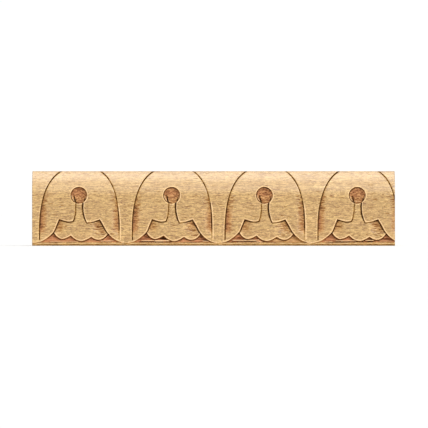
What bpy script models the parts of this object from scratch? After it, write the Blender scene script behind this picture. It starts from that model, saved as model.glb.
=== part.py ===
"""A carved wooden moulding strip, cut square at both ends from a longer run.

The origin is the middle of the underside. X runs along the strip, the carved face looks along -Y,
the flat back is at +Y, and +Z is up. The strip stands on its flat lower edge.

One motif repeats along it. An arch-topped leaf is drawn by a fine groove and runs off the top edge.
A round eye is sunk in the leaf, with a stem that comes down from it and spreads into a lower leaf
with two wings and three lobes. Below the lobes the ground is cut away deep, down to a thin lip.
"""

from math import cos, hypot, pi, radians, sin

import bmesh
import bpy
import numpy as np
from mathutils import Vector
from mathutils.geometry import delaunay_2d_cdt

# The drawing below is in millimetres, and the finished mesh in metres
MM = 0.001

# The strip
LENGTH = 155.5
HEIGHT = 32.0
DEPTH = 12.7
FACE_Y = -DEPTH / 2
BACK_Y = DEPTH / 2

# The section: an eased lower arris, a flat face, then a round that leans back to the top edge
ARRIS_RADIUS = 1.2
ARRIS_STEPS = 4
ROUND_START = 19.6
ROUND_RADIUS = 14.3
ROUND_STEP_ANGLE = radians(6.0)

# The run of motifs: the strip is sawn and planed out of a blank that is a little longer and taller
REPEAT = 39.75
FIRST_AXIS = -57.7
MOTIFS = 4
BLANK_END = 7.0
BLANK_TOP = 1.1

# The arch: a superellipse on a centre line that leans a little to the right as it rises
ARCH_HALF_WIDTH = 17.05
ARCH_RISE = 29.3
ARCH_POWER = 2.6
ARCH_SPRING = 4.6
ARCH_FOOT = 2.2
ARCH_SHIFT = 0.2
ARCH_LEAN = 0.5
ARCH_LEAN_HEIGHT = 27.0
ARCH_SAMPLES = 400
GROOVE_DEPTH = 0.4
GROOVE_HALF_WIDTH = 0.3
GROOVE_CROWN_FADE = (26.0, 33.0, 0.5)
GROOVE_FOOT_FADE = (1.9, 3.4)

# The leaf inside the arch, whose lower flanks roll down to the arch line
LEAF_SINK = 0.15
LEAF_EDGE = 0.4
LEAF_SINK_FADE = (24.0, 31.0)
LEAF_TIP = (1.3, 3.5)
FLANK_SINK = 0.6
FLANK_WIDTH = 3.6
FLANK_POWER = 1.5
FLANK_STEP = 0.15
FLANK_TOP = (11.0, 19.0)
FLANK_TIP = (1.4, 4.6)

# The eye, and the tongue of wood that climbs from its floor to the stem
EYE_CENTRE = (0.0, 21.63)
EYE_RADIUS = 3.6
EYE_DEPTH = 2.0
TONGUE_CENTRE = 0.3
TONGUE_HALF_WIDTH = 1.65
TONGUE_FLARE = 0.25
TONGUE_EDGE = 0.45
TONGUE_FOOT = (17.9, 0.85)
TONGUE_HEAD = 22.0

# The lower leaf: the outline of stem, wings and lobes, as distances from the motif's axis and heights
STEM_LEFT = ((-1.45, 18.8), (-1.5, 16.6), (-1.6, 14.4), (-2.0, 12.2), (-2.6, 10.6))
STEM_RIGHT = ((1.95, 18.8), (1.85, 16.8), (1.95, 14.6), (2.55, 12.0), (3.5, 9.95))
WING_TOP_LEFT = ((-2.6, 10.6), (-4.2, 10.4), (-8.5, 11.4))
WING_TOP_RIGHT = ((3.5, 9.95), (6.4, 10.45), (9.0, 11.3))
SIDE_LEFT = ((-8.5, 11.4), (-9.6, 8.8), (-10.9, 5.9), (-13.45, 3.5), (-16.2, 1.85), (-18.5, 1.3))
SIDE_RIGHT = ((9.0, 11.3), (10.5, 8.8), (12.1, 5.9), (14.4, 3.4), (16.9, 1.9), (19.1, 1.3))
LOBES = (
    ((-10.9, 5.9), (-9.5, 4.1), (-7.3, 2.95), (-5.3, 3.4), (-3.4, 4.4)),
    ((-3.4, 4.4), (-1.5, 2.85), (1.0, 2.05), (3.4, 2.75), (5.3, 3.85)),
    ((5.3, 3.85), (6.8, 2.95), (8.2, 2.6), (9.85, 2.9), (11.1, 3.7), (12.5, 5.4)),
)

# How deep the lower leaf lies: shallow at its middle and its lobes, deep under the shoulders
STEM_DEPTH = 0.6
HEART_DEPTH = 0.4
SHOULDER_DEPTH = 1.3
SHOULDER_REACH = (3.0, 9.7)
SHOULDER_DROP = (4.5, 10.0)
STEM_RISE = (9.0, 14.0)

# The creases beside the stem, the cut-away ground, and the steepness of every wall
CREASE_DEPTH = 0.35
CREASE_HALF_WIDTH = 0.35
CREASE_START = (10.5, 12.5)
GROUND_DEPTH = 2.0
WALL_WIDTH = 0.25

# Spacing of the mesh points
CURVE_STEP = 0.1
LINE_STEP = 0.95
ARCH_STEP = 1.6
EYE_SIDES = 32
TIP_POINTS = 4
ROW_STEP = 2.6
FILL_STEP = 1.6
EYE_FILL_STEP = 0.85
FILL_CLEARANCE = 0.55
EYE_CLEARANCE = 0.28
KEPT_SHARE = 0.9
SAME_POINT = 1e-3
SAW_SNAP = 1e-4

WOOD_COLOUR = (0.56, 0.34, 0.15, 1.0)
WOOD_ROUGHNESS = 0.5


def clear_scene():
    for obj in list(bpy.data.objects):
        bpy.data.objects.remove(obj, do_unlink=True)


def ease(values, start, end):
    """0 at the start value, 1 at the end value, with a soft run between them."""
    t = np.clip((values - start) / (end - start), 0.0, 1.0)
    return t * t * (3.0 - 2.0 * t)


def evenly(line, step):
    """The line again, with its points at even steps along it."""
    line = np.asarray(line, float)
    along = np.concatenate([[0.0], np.cumsum(np.hypot(*np.diff(line, axis=0).T))])
    places = np.linspace(0.0, along[-1], max(2, round(along[-1] / step) + 1))
    return np.column_stack([np.interp(places, along, line[:, k]) for k in (0, 1)])


def curve_through(points, step=LINE_STEP):
    """A smooth curve through a few points, sampled at even steps."""
    points = np.array(points, float)
    along = np.concatenate([[0.0], np.cumsum(np.hypot(*np.diff(points, axis=0).T))])
    slopes = np.gradient(points, along, axis=0)
    places = np.linspace(0.0, along[-1], round(along[-1] / CURVE_STEP) + 1)
    span = np.clip(np.searchsorted(along, places, side="right") - 1, 0, len(points) - 2)
    width = (along[span + 1] - along[span])[:, None]
    t = (places - along[span])[:, None] / width
    curve = (
        (2 * t**3 - 3 * t**2 + 1) * points[span]
        + (t**3 - 2 * t**2 + t) * width * slopes[span]
        + (3 * t**2 - 2 * t**3) * points[span + 1]
        + (t**3 - t**2) * width * slopes[span + 1]
    )
    return evenly(curve, step)


def chained(*lines):
    """Lines joined end to end, with each shared end kept once."""
    return np.concatenate([line[:-1] for line in lines[:-1]] + [lines[-1]])


def arch_line():
    """The arch from its left foot over the crown to its right foot."""
    turn = np.linspace(0.0, pi, ARCH_SAMPLES)
    reach = np.sign(np.cos(turn)) * np.abs(np.cos(turn)) ** (2 / ARCH_POWER)
    rise = ARCH_RISE * np.abs(np.sin(turn)) ** (2 / ARCH_POWER)
    centre = ARCH_SHIFT + ARCH_LEAN * (rise / ARCH_LEAN_HEIGHT) ** 2
    crown = np.column_stack([centre - ARCH_HALF_WIDTH * reach, ARCH_SPRING + rise])
    feet = [(crown[0, 0], ARCH_FOOT)], [(crown[-1, 0], ARCH_FOOT)]
    return evenly(np.concatenate([feet[0], crown, feet[1]]), ARCH_STEP)


def eye_ring(radius):
    turn = np.linspace(0.0, 2 * pi, EYE_SIDES + 1)
    return np.column_stack([EYE_CENTRE[0] + radius * np.cos(turn), EYE_CENTRE[1] + radius * np.sin(turn)])


def tongue_half_width(z):
    return TONGUE_HALF_WIDTH + TONGUE_FLARE * (z - TONGUE_FOOT[0])


def tongue_side(side, offset):
    """A line along one side of the tongue, from the eye's lower rim up to its middle."""
    z = np.arange(TONGUE_FOOT[0] + TONGUE_EDGE, TONGUE_HEAD, EYE_FILL_STEP)
    return np.column_stack([TONGUE_CENTRE + side * (tongue_half_width(z) + offset), z])


def lobe_line():
    """The scalloped lower edge of the three lobes, from left to right."""
    return chained(*(curve_through(lobe) for lobe in LOBES))


def cut_outline():
    """The closed outline of all that is cut away below the eye: stem, wings and ground."""
    left = chained(*(curve_through(line) for line in (STEM_LEFT, WING_TOP_LEFT, SIDE_LEFT)))
    right = chained(*(curve_through(line) for line in (STEM_RIGHT, WING_TOP_RIGHT, SIDE_RIGHT)))
    lip = evenly([left[-1], right[-1]], LINE_STEP)
    return np.concatenate([left[:-1], lip[:-1], right[::-1], left[:1]])


def ground_tip(side):
    """The bottom of a narrow end of the ground, midway between the leaf's edge and the lip."""
    edge = curve_through(side)[-TIP_POINTS:]
    return np.column_stack([edge[:, 0], (edge[:, 1] + edge[-1, 1]) / 2])


def distance_to(points, line):
    """Each point's distance to the line, and whether the closed line goes round it."""
    nearest = np.full(len(points), np.inf)
    inside = np.zeros(len(points), bool)
    for (x0, z0), (x1, z1) in zip(line[:-1], line[1:]):
        dx, dz = x1 - x0, z1 - z0
        if hypot(dx, dz) < 1e-9:
            continue
        px, pz = points[:, 0] - x0, points[:, 1] - z0
        t = np.clip((px * dx + pz * dz) / (dx * dx + dz * dz), 0.0, 1.0)
        nearest = np.minimum(nearest, np.hypot(px - t * dx, pz - t * dz))
        if dz:
            crosses = (points[:, 1] < z0) != (points[:, 1] < z1)
            inside ^= crosses & (points[:, 0] < x0 + dx * pz / dz)
    return nearest, inside


def depth_inside(points, line):
    """How far inside the closed line each point lies, negative outside it."""
    nearest, inside = distance_to(points, line)
    return np.where(inside, nearest, -nearest)


def arch_area():
    """The closed outline of the leaf: the arch, with its feet brought down past the lower edge."""
    arch = arch_line()
    feet = [(arch[-1, 0], -1.0), (arch[0, 0], -1.0), tuple(arch[0])]
    return np.concatenate([arch, feet])


def leaf_depth(points):
    """The leaf, its rolled flanks and the groove round it."""
    z = points[:, 1]
    inward = depth_inside(points, arch_area())
    to_groove = distance_to(points, arch_line())[0]
    sink = LEAF_SINK * ease(inward, 0.0, LEAF_EDGE) * (1.0 - ease(z, *LEAF_SINK_FADE)) * ease(z, *LEAF_TIP)
    roll = np.clip(1.0 - inward / FLANK_WIDTH, 0.0, 1.0) ** FLANK_POWER * ease(inward, 0.0, FLANK_STEP)
    roll *= FLANK_SINK * (1.0 - ease(z, *FLANK_TOP)) * ease(z, *FLANK_TIP)
    groove = GROOVE_DEPTH * np.clip(1.0 - to_groove / GROOVE_HALF_WIDTH, 0.0, 1.0)
    fade_start, fade_end, fade = GROOVE_CROWN_FADE
    groove *= ease(z, *GROOVE_FOOT_FADE) * (1.0 - fade * ease(z, fade_start, fade_end))
    return sink + roll + groove


def eye_floor(points):
    """The pit of the eye, with the tongue that rises from its middle to the stem."""
    u, z = points[:, 0], points[:, 1]
    foot, foot_depth = TONGUE_FOOT
    half = tongue_half_width(z)
    across = 1.0 - ease(np.abs(u - TONGUE_CENTRE), half - TONGUE_EDGE / 2, half + TONGUE_EDGE / 2)
    climb = np.clip((TONGUE_HEAD - z) / (TONGUE_HEAD - foot), 0.0, 1.0)
    return EYE_DEPTH - (EYE_DEPTH - foot_depth) * climb * across


def lower_leaf_floor(points, inward):
    """The surface of the stem, the wings and the lobes."""
    u, z = points[:, 0], points[:, 1]
    shoulder = ease(np.abs(u), *SHOULDER_REACH) * ease(z, *SHOULDER_DROP)
    floor = HEART_DEPTH + (SHOULDER_DEPTH - HEART_DEPTH) * shoulder
    floor += (STEM_DEPTH - HEART_DEPTH) * ease(z, *STEM_RISE)
    crease = np.clip(1.0 - np.abs(inward - WALL_WIDTH) / CREASE_HALF_WIDTH, 0.0, 1.0)
    return floor + CREASE_DEPTH * crease * ease(z, *CREASE_START)


def ground_share(points):
    """0 on the lobes and above them, 1 on the deep ground below."""
    lobes = lobe_line()
    nearest = distance_to(points, lobes)[0]
    below = points[:, 1] < np.interp(points[:, 0], lobes[:, 0], lobes[:, 1], left=99.0, right=99.0)
    return np.where(below, np.clip(nearest / WALL_WIDTH, 0.0, 1.0), 0.0)


def motif_depth(points):
    """How far into the wood each point of a motif is cut, from the motif's own axis."""
    surface = leaf_depth(points)
    inward = depth_inside(points, cut_outline())
    leaf_floor = lower_leaf_floor(points, inward)
    floor = leaf_floor + (GROUND_DEPTH - leaf_floor) * ground_share(points)
    cut = surface + np.maximum(floor - surface, 0.0) * np.clip(inward / WALL_WIDTH, 0.0, 1.0)
    eye_inward = depth_inside(points, eye_ring(EYE_RADIUS))
    eye = surface + (eye_floor(points) - surface) * np.clip(eye_inward / WALL_WIDTH, 0.0, 1.0)
    return np.maximum(cut, eye)


def setback(z):
    """How far the uncarved section lies behind the flat of the face at a height."""
    low = np.clip(ARRIS_RADIUS - z, 0.0, ARRIS_RADIUS)
    high = np.clip(z - ROUND_START, 0.0, ROUND_RADIUS)
    arris = ARRIS_RADIUS - np.sqrt(ARRIS_RADIUS**2 - low**2)
    return arris + ROUND_RADIUS - np.sqrt(ROUND_RADIUS**2 - high**2)


def face_y(points):
    """Y of the carved face at each point (x, z) of the run."""
    nearest = np.clip(np.round((points[:, 0] - FIRST_AXIS) / REPEAT), 0, MOTIFS - 1)
    local = np.column_stack([points[:, 0] - FIRST_AXIS - REPEAT * nearest, points[:, 1]])
    return FACE_Y + setback(points[:, 1]) + motif_depth(local)


def set_in(line, distance, outline):
    """The line moved to its left by a distance, less the points that then come too near the outline."""
    along = np.gradient(line, axis=0)
    along /= np.hypot(along[:, 0], along[:, 1])[:, None]
    moved = line + distance * np.column_stack([-along[:, 1], along[:, 0]])
    return moved[distance_to(moved, outline)[0] > KEPT_SHARE * abs(distance)]


def motif_lines():
    """The lines of one motif that the mesh follows: the top and the foot of every wall, and the grooves."""
    arch, outline, lobes = arch_line(), cut_outline(), lobe_line()
    crease_width = WALL_WIDTH + CREASE_HALF_WIDTH
    grooves = (arch, set_in(arch, GROOVE_HALF_WIDTH, arch), set_in(arch, -GROOVE_HALF_WIDTH, arch))
    walls = (outline, set_in(outline, WALL_WIDTH, outline), lobes, set_in(lobes, -WALL_WIDTH, lobes))
    stem_sides = ((curve_through(STEM_LEFT), crease_width), (curve_through(STEM_RIGHT), -crease_width))
    creases = tuple(set_in(line, offset, outline) for line, offset in stem_sides)
    tips = (ground_tip(SIDE_LEFT), ground_tip(SIDE_RIGHT))
    eye = (eye_ring(EYE_RADIUS), eye_ring(EYE_RADIUS - WALL_WIDTH))
    tongue = tuple(tongue_side(side, end * TONGUE_EDGE / 2) for side in (-1, 1) for end in (-1, 1))
    return grooves + walls + creases + tips + eye + tongue


def section_heights():
    """Heights of the lines that run the whole length, round the arris and up the round."""
    arris = [ARRIS_RADIUS * (1 - cos(pi / 2 * k / ARRIS_STEPS)) for k in range(1, ARRIS_STEPS + 1)]
    top = HEIGHT + BLANK_TOP
    steps = int(np.arcsin((HEIGHT - ROUND_START) / ROUND_RADIUS) / ROUND_STEP_ANGLE)
    up_round = [ROUND_START + ROUND_RADIUS * sin(ROUND_STEP_ANGLE * k) for k in range(steps + 1)]
    return [0.0] + arris + up_round + [HEIGHT, top]


def staggered(x_range, z_range, step):
    """Points in staggered rows over a rectangle."""
    rows = np.arange(*z_range, step * sin(pi / 3))
    starts = [x_range[0] + step / 2 * (k % 2) for k in range(len(rows))]
    return np.array([(x, z) for start, z in zip(starts, rows) for x in np.arange(start, x_range[1], step)])


def clear_of(points, lines, clearance):
    """The points that keep clear of the lines."""
    for line in lines:
        points = points[distance_to(points, line)[0] > clearance]
    return points


def face_lines(half_length):
    """Every line of the whole run, as (x, z) points: first the motifs' lines, then the long ones."""
    drawn = motif_lines()
    carved = [line + (FIRST_AXIS + REPEAT * k, 0.0) for k in range(MOTIFS) for line in drawn]
    ends = [np.array([(x, 0.0), (x, HEIGHT + BLANK_TOP)]) for x in (-half_length, half_length)]
    long_lines = []
    for z in section_heights():
        row = evenly([(-half_length, z), (half_length, z)], ROW_STEP)
        between = clear_of(row[1:-1], carved, FILL_CLEARANCE)
        long_lines.append(np.concatenate([row[:1], between, row[-1:]]))
    return carved + ends + long_lines


def fill_points(lines, half_length):
    """Points between the lines: close together in the eyes, and further apart elsewhere."""
    wide = staggered((-half_length, half_length), (ARRIS_RADIUS, HEIGHT), FILL_STEP)
    box = [(c - EYE_RADIUS, c + EYE_RADIUS) for c in EYE_CENTRE]
    eye = staggered(*box, EYE_FILL_STEP)
    eye = eye[depth_inside(eye, eye_ring(EYE_RADIUS - WALL_WIDTH)) > EYE_CLEARANCE]
    eyes = np.concatenate([eye + (FIRST_AXIS + REPEAT * k, 0.0) for k in range(MOTIFS)])
    return np.concatenate([clear_of(wide, lines, FILL_CLEARANCE), clear_of(eyes, lines, EYE_CLEARANCE)])


def carved_face(bm):
    """The carved face as one sheet of triangles, from the lower edge past the top one."""
    half_length = LENGTH / 2 + BLANK_END
    lines = face_lines(half_length)
    fill = fill_points(lines, half_length)
    points = [Vector(p) for line in lines for p in line] + [Vector(p) for p in fill]
    edges, start = [], 0
    for line in lines:
        edges += [(start + k, start + k + 1) for k in range(len(line) - 1)]
        start += len(line)
    flat, _, faces, *_ = delaunay_2d_cdt(points, edges, [], 0, SAME_POINT)
    spots = np.array([(p.x, p.y) for p in flat])
    verts = [bm.verts.new((x, y, z)) for (x, z), y in zip(spots, face_y(spots))]
    for face in faces:
        bm.faces.new([verts[k] for k in face])


def close_to_back(bm):
    """Straight sides from the edge of the face to the flat back, and the back itself."""
    rim = [edge for edge in bm.edges if edge.is_boundary]
    made = bmesh.ops.extrude_edge_only(bm, edges=rim)["geom"]
    for vert in (item for item in made if isinstance(item, bmesh.types.BMVert)):
        vert.co.y = BACK_Y
    open_edges = [edge for edge in bm.edges if edge.is_boundary]
    bmesh.ops.edgeloop_fill(bm, edges=open_edges)


def saw(bm, place, direction):
    """Cuts off what lies past a plane and closes the cut."""
    geometry = bm.verts[:] + bm.edges[:] + bm.faces[:]
    cut = bmesh.ops.bisect_plane(
        bm, geom=geometry, dist=SAW_SNAP, plane_co=place, plane_no=direction, clear_outer=True
    )["geom_cut"]
    bmesh.ops.edgeloop_fill(bm, edges=[item for item in cut if isinstance(item, bmesh.types.BMEdge)])


def wood_material():
    material = bpy.data.materials.new("pale_wood")
    material.use_nodes = True
    shader = material.node_tree.nodes["Principled BSDF"]
    shader.inputs["Base Color"].default_value = WOOD_COLOUR
    shader.inputs["Roughness"].default_value = WOOD_ROUGHNESS
    shader.inputs["Metallic"].default_value = 0.0
    return material


def moulding_strip():
    """The carved strip, in metres."""
    bm = bmesh.new()
    carved_face(bm)
    close_to_back(bm)
    saw(bm, (0, 0, HEIGHT), (0, 0, 1))
    saw(bm, (-LENGTH / 2, 0, 0), (-1, 0, 0))
    saw(bm, (LENGTH / 2, 0, 0), (1, 0, 0))
    bmesh.ops.recalc_face_normals(bm, faces=bm.faces[:])
    bmesh.ops.scale(bm, vec=(MM, MM, MM), verts=bm.verts[:])
    mesh = bpy.data.meshes.new("moulding_strip")
    bm.to_mesh(mesh)
    bm.free()
    mesh.shade_smooth()
    mesh.set_sharp_from_angle(angle=radians(25.0))
    mesh.materials.append(wood_material())
    strip = bpy.data.objects.new("moulding_strip", mesh)
    bpy.context.scene.collection.objects.link(strip)


clear_scene()
moulding_strip()
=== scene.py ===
"""The looks of a carved wooden moulding strip: its finer carving, its bare wood and a white studio.

Lengths in the drawing are in millimetres, and the finished strip is in metres. X runs along the
strip, the carved face looks along -Y, the flat back is at +Y, and +Z is up.
"""

from math import cos, hypot, pi, radians, sin

import bmesh
import bpy
import numpy as np
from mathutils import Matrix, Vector, noise
from mathutils.geometry import delaunay_2d_cdt


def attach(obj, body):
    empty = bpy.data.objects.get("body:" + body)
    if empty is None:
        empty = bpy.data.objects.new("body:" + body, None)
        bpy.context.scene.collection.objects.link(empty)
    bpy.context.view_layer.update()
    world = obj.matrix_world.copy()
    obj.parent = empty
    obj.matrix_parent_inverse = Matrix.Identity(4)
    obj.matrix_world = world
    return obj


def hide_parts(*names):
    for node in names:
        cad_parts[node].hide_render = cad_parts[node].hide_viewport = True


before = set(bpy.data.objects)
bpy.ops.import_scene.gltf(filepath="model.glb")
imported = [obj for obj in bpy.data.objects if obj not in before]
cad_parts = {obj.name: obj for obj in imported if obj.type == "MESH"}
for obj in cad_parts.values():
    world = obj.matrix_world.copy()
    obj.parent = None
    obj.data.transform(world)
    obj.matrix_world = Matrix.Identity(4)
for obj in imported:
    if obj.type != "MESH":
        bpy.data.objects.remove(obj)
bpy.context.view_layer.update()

MM = 0.001

# The strip, and the section of its face
LENGTH = 155.5
HEIGHT = 32.0
DEPTH = 12.7
FACE_Y = -DEPTH / 2
BACK_Y = DEPTH / 2
ARRIS_RADIUS = 1.2
ARRIS_STEPS = 9
ROUND_START = 19.6
ROUND_RADIUS = 14.3
SAWN_ARRIS = 0.22
SAWN_ARRIS_STEPS = 4

# The run of motifs, on a blank that is a little longer and taller than the strip
REPEAT = 39.75
FIRST_AXIS = -57.7
MOTIFS = 4
BLANK_END = 7.0
BLANK_TOP = 1.1

# The arch
ARCH_HALF_WIDTH = 17.05
ARCH_RISE = 29.3
ARCH_POWER = 2.6
ARCH_SPRING = 4.6
ARCH_FOOT = 2.2
ARCH_SHIFT = 0.2
ARCH_LEAN = 0.5
ARCH_LEAN_HEIGHT = 27.0
ARCH_SAMPLES = 1200
GROOVE_DEPTH = 0.6
GROOVE_HALF_WIDTH = 0.34
GROOVE_CROWN_FADES = (24.0, 30.0, 0.35, 0.05)
GROOVE_BREAKS = (1.3, 1.1, 0.45)
GROOVE_BREAK_EDGE = (-0.12, 0.1)
GROOVE_BREAK_START = (12.0, 16.0)
GROOVE_RAGGED = (2.0, 0.45, 0.8, 0.5)
GROOVE_FOOT_FADE = (1.9, 3.0)
GROOVE_RIGHT_FADE = (4.5, 9.5, 0.85)

# The leaf inside the arch
LEAF_SINK = 0.15
LEAF_EDGE = 0.4
LEAF_SINK_FADE = (24.0, 31.0)
LEAF_TIP = (1.3, 3.5)
FLANK_SINK = 0.6
FLANK_WIDTH = 3.6
FLANK_POWER = 1.5
FLANK_STEP = 0.15
FLANK_TOP = (11.0, 19.0)
FLANK_TIP = (3.2, 7.5)

# The eye and its tongue
EYE_CENTRE = (0.0, 21.63)
EYE_RADIUS = 3.6
EYE_DEPTH = 2.0
EYE_EDGE_DEPTH = 1.0
TONGUE_CENTRE = 0.4
TONGUE_HALF_WIDTH = 1.45
TONGUE_FLARE = 0.26
TONGUE_EDGE = 0.4
TONGUE_CREASE = 0.6
TONGUE_CREASE_HALF_WIDTH = 0.38
TONGUE_CREASE_FADES = (20.8, 22.2), (19.9, 21.2)
TONGUE_FOOT = (17.9, 0.85)
TONGUE_HEAD = 22.0

# The lower leaf: the outline of stem, wings and lobes
STEM_LEFT = ((-1.45, 18.8), (-1.5, 16.6), (-1.6, 14.4), (-2.0, 12.2), (-2.6, 10.6))
STEM_RIGHT = ((1.95, 18.8), (1.85, 16.8), (1.95, 14.6), (2.55, 12.0), (3.5, 9.95))
WING_TOP_LEFT = ((-2.6, 10.6), (-4.2, 10.4), (-8.5, 11.4))
WING_TOP_RIGHT = ((3.5, 9.95), (6.4, 10.45), (9.0, 11.3))
SIDE_LEFT = ((-8.5, 11.4), (-9.6, 8.8), (-10.9, 5.9), (-13.45, 3.5), (-16.2, 1.85), (-18.5, 1.3))
SIDE_RIGHT = ((9.0, 11.3), (10.5, 8.8), (12.1, 5.9), (14.4, 3.4), (16.9, 1.9), (19.1, 1.3))
LOBES = (
    ((-10.9, 5.9), (-9.5, 4.1), (-7.3, 2.95), (-5.3, 3.4), (-3.4, 4.4)),
    ((-3.4, 4.4), (-1.5, 2.85), (1.0, 2.05), (3.4, 2.75), (5.3, 3.85)),
    ((5.3, 3.85), (6.8, 2.95), (8.2, 2.6), (9.85, 2.9), (11.1, 3.7), (12.5, 5.4)),
)
STEM_DEPTH = 0.6
HEART_DEPTH = 0.4
SHOULDER_DEPTH = 1.3
SHOULDER_REACH = (4.2, 9.4)
SHOULDER_DROP = (3.6, 9.5)
WORN_REACHES = (4.2, 9.4), (4.6, 8.6)
WORN_DROPS = (3.6, 9.5), (1.8, 5.0)
STEM_RISE = (9.0, 14.0)
CREASE_DEPTH = 0.35
WING_CREASE_DEPTH = 0.2
CREASE_HALF_WIDTH = 0.35
CREASE_START = (10.5, 12.5)
GROUND_DEPTH = 1.7
GROUND_LIP_DEPTH = 0.8
GROUND_RISE = (1.3, 3.4)
GROUND_START = (0.05, 0.3)

# Every wall: its width, and how far its rounded top and foot reach past it
WALL_WIDTH = 0.25
WALL_TOP_ROUND = 0.13
WALL_FOOT_ROUND = 0.12

# Torn grain, with painted shade on the flanks, the shoulders and under the lobes at the notches: its depth,
# its strength in each part, and its streaks' length, height, edges and seed
TEAR_DEPTH = 0.3
SHOULDER_TEAR = 0.65
SHOULDER_WEAR_AND_SHADE = 0.15
SHOULDER_STREAK = (3.0, 0.32, 0.14, 0.3, 17.9)
GROUND_TEARS = (0.3, 0.7, 0.5, 0.7)
GROUND_STREAK = (5.0, 0.7, 0.12, 0.26, 28.4)
GROUND_TEAR_START = (0.1, 0.6)
NOTCH_SHADE = (0.3, 2.6, 4.0)
EYE_TEAR = 0.75
EYE_STREAK = (0.8, 0.36, -0.14, 0.12, 7.3)
FLANK_TEAR = 0.62
FLANK_TEAR_POWER = 0.6
FLANK_STREAK = (2.4, 0.34, 0.1, 0.28, 39.2)
FLANK_SHADE = 0.38
FLANK_REACH = 3.0
FLANK_TEAR_FOOT = (5.0, 8.0)
FLANK_TEAR_TOP = (19.0, 24.0)
LEFT_FLANK_SHARE = 1.2

# Slivers left standing in the ground: motif, start, end, height, half thickness and how far they rise
SLIVERS = (
    (0, -13.0, 0.5, 1.7, 0.2, 0.7),
    (0, 8.5, 15.5, 2.05, 0.22, 0.9),
    (1, -13.8, -7.0, 2.2, 0.24, 1.0),
    (1, -8.0, -0.4, 2.12, 0.3, 1.3),
    (1, 3.0, 9.5, 1.75, 0.18, 0.5),
    (1, 12.5, 16.5, 2.0, 0.24, 1.0),
    (2, -14.2, -1.8, 2.38, 0.26, 1.35),
    (2, -12.5, -0.5, 1.55, 0.2, 1.1),
    (3, -14.8, -9.5, 1.85, 0.2, 0.8),
    (3, -9.8, 0.8, 2.1, 0.24, 1.0),
    (3, 2.8, 7.8, 2.3, 0.24, 1.0),
    (3, 8.5, 15.5, 1.95, 0.22, 0.8),
)

# Slits where the ground has split: motif, start, end, height, half thickness and depth
SLITS = (
    (0, -11.8, -9.2, 4.1, 0.22, 0.4),
    (0, 4.6, 8.8, 1.4, 0.18, 0.5),
    (0, 11.0, 14.2, 2.9, 0.2, 0.4),
    (1, -12.6, -9.0, 3.75, 0.24, 0.6),
    (1, -14.8, -6.0, 1.72, 0.18, 0.6),
    (1, -7.2, 0.8, 1.5, 0.2, 0.6),
    (1, -5.6, -1.4, 3.2, 0.8, 0.7),
    (1, 4.5, 17.6, 1.45, 0.18, 0.5),
    (1, 11.4, 14.0, 3.7, 0.22, 0.5),
    (2, -12.4, -9.2, 3.6, 0.2, 0.6),
    (2, -12.6, -9.0, 2.95, 0.16, 0.5),
    (2, -12.5, -2.5, 1.95, 0.2, 0.7),
    (2, -17.0, -12.0, 1.5, 0.22, 0.6),
    (3, -15.2, -7.5, 2.4, 0.16, 0.5),
    (3, -13.5, 8.0, 1.6, 0.17, 0.6),
    (3, 3.0, 8.2, 1.85, 0.16, 0.5),
    (3, 10.8, 14.0, 3.0, 0.2, 0.5),
)

# Lost splinters on wings and flanks: motif, start, end, height, half thickness and share of TEAR_DEPTH
SPLINTERS = (
    (0, -10.0, -6.8, 7.85, 0.24, 1.0),
    (0, -9.0, -7.0, 10.2, 0.18, 0.6),
    (0, 5.0, 8.8, 9.3, 0.18, 0.7),
    (0, 7.0, 11.2, 8.2, 0.24, 1.2),
    (0, 6.8, 9.6, 7.7, 0.22, 1.0),
    (0, 11.8, 15.8, 4.9, 0.2, 0.9),
    (0, 13.4, 16.6, 7.2, 0.2, 0.8),
    (0, 13.8, 16.2, 6.2, 0.18, 0.7),
    (1, -10.2, -8.4, 7.3, 0.22, 0.9),
    (1, -8.6, -6.4, 8.2, 0.3, 0.5),
    (1, 6.4, 10.2, 9.6, 0.2, 0.8),
    (1, 6.0, 8.4, 8.1, 0.2, 0.9),
    (1, 6.8, 10.8, 6.7, 0.24, 1.1),
    (1, -1.2, 1.0, 9.95, 0.16, 0.9),
    (1, 13.0, 14.6, 7.9, 0.18, 0.8),
    (2, -9.8, -7.0, 8.4, 0.22, 0.8),
    (2, -8.8, -5.8, 7.5, 0.3, 0.4),
    (2, 3.8, 6.6, 8.4, 0.2, 0.9),
    (2, 6.4, 10.2, 7.3, 0.22, 0.8),
    (2, 7.8, 10.6, 6.5, 0.2, 0.8),
    (2, 13.7, 15.2, 8.4, 0.26, 1.2),
    (2, 13.9, 15.6, 7.5, 0.2, 0.9),
    (2, 14.4, 16.2, 6.5, 0.22, 0.9),
    (3, -9.8, -6.2, 8.3, 0.24, 1.2),
    (3, -8.8, -6.0, 9.6, 0.2, 0.5),
    (3, 5.8, 9.8, 9.2, 0.22, 0.8),
    (3, 6.6, 10.4, 8.3, 0.2, 0.8),
    (3, 8.2, 10.9, 6.8, 0.26, 1.2),
)

# How slivers, slits and splinters sway, taper at their ends and round off across
STRIP_SWAY = 0.12
STRIP_SWAY_LENGTH = 4.0
STRIP_TAPER = 1.2
STRIP_EDGES = (0.25, 1.1)

# Splits along the lip below the ground, as heights above the lower edge, with a share for each motif
LIP_SPLITS = (0.45, 0.95)
LIP_SHARES = (0.25, 0.5, 0.6, 1.0)
LIP_SPLIT_SIZE = (9.0, 0.16, 0.12)
LIP_SPLIT_EDGE = (-0.1, 0.25)

# How far scorch and painted shade darken each part (painted shade in the hollows, at the eye's top and on
# the flanks), and the motif whose ground is cleaner to the right
EYE_SCORCH_AND_SHADE = (0.38, 0.72)
EYE_SHADE_HEIGHTS = (19.0, 22.5)
EYE_SHADE_EDGE = 0.4
SHOULDER_SCORCH_AND_SHADE = 0.3
FLANK_SCORCH_AND_SHADE = (0.8, 0.5)
FLANK_SHADE_HEIGHTS = (3.0, 7.0)
CLEAN_GROUND_MOTIF = 2
CLEAN_GROUND_SHARE = 0.6
CLEAN_GROUND_START = (0.0, 2.5)
LOW_GROUND_LESS_SHADE = (0.15, 2.2, 1.5)
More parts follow.
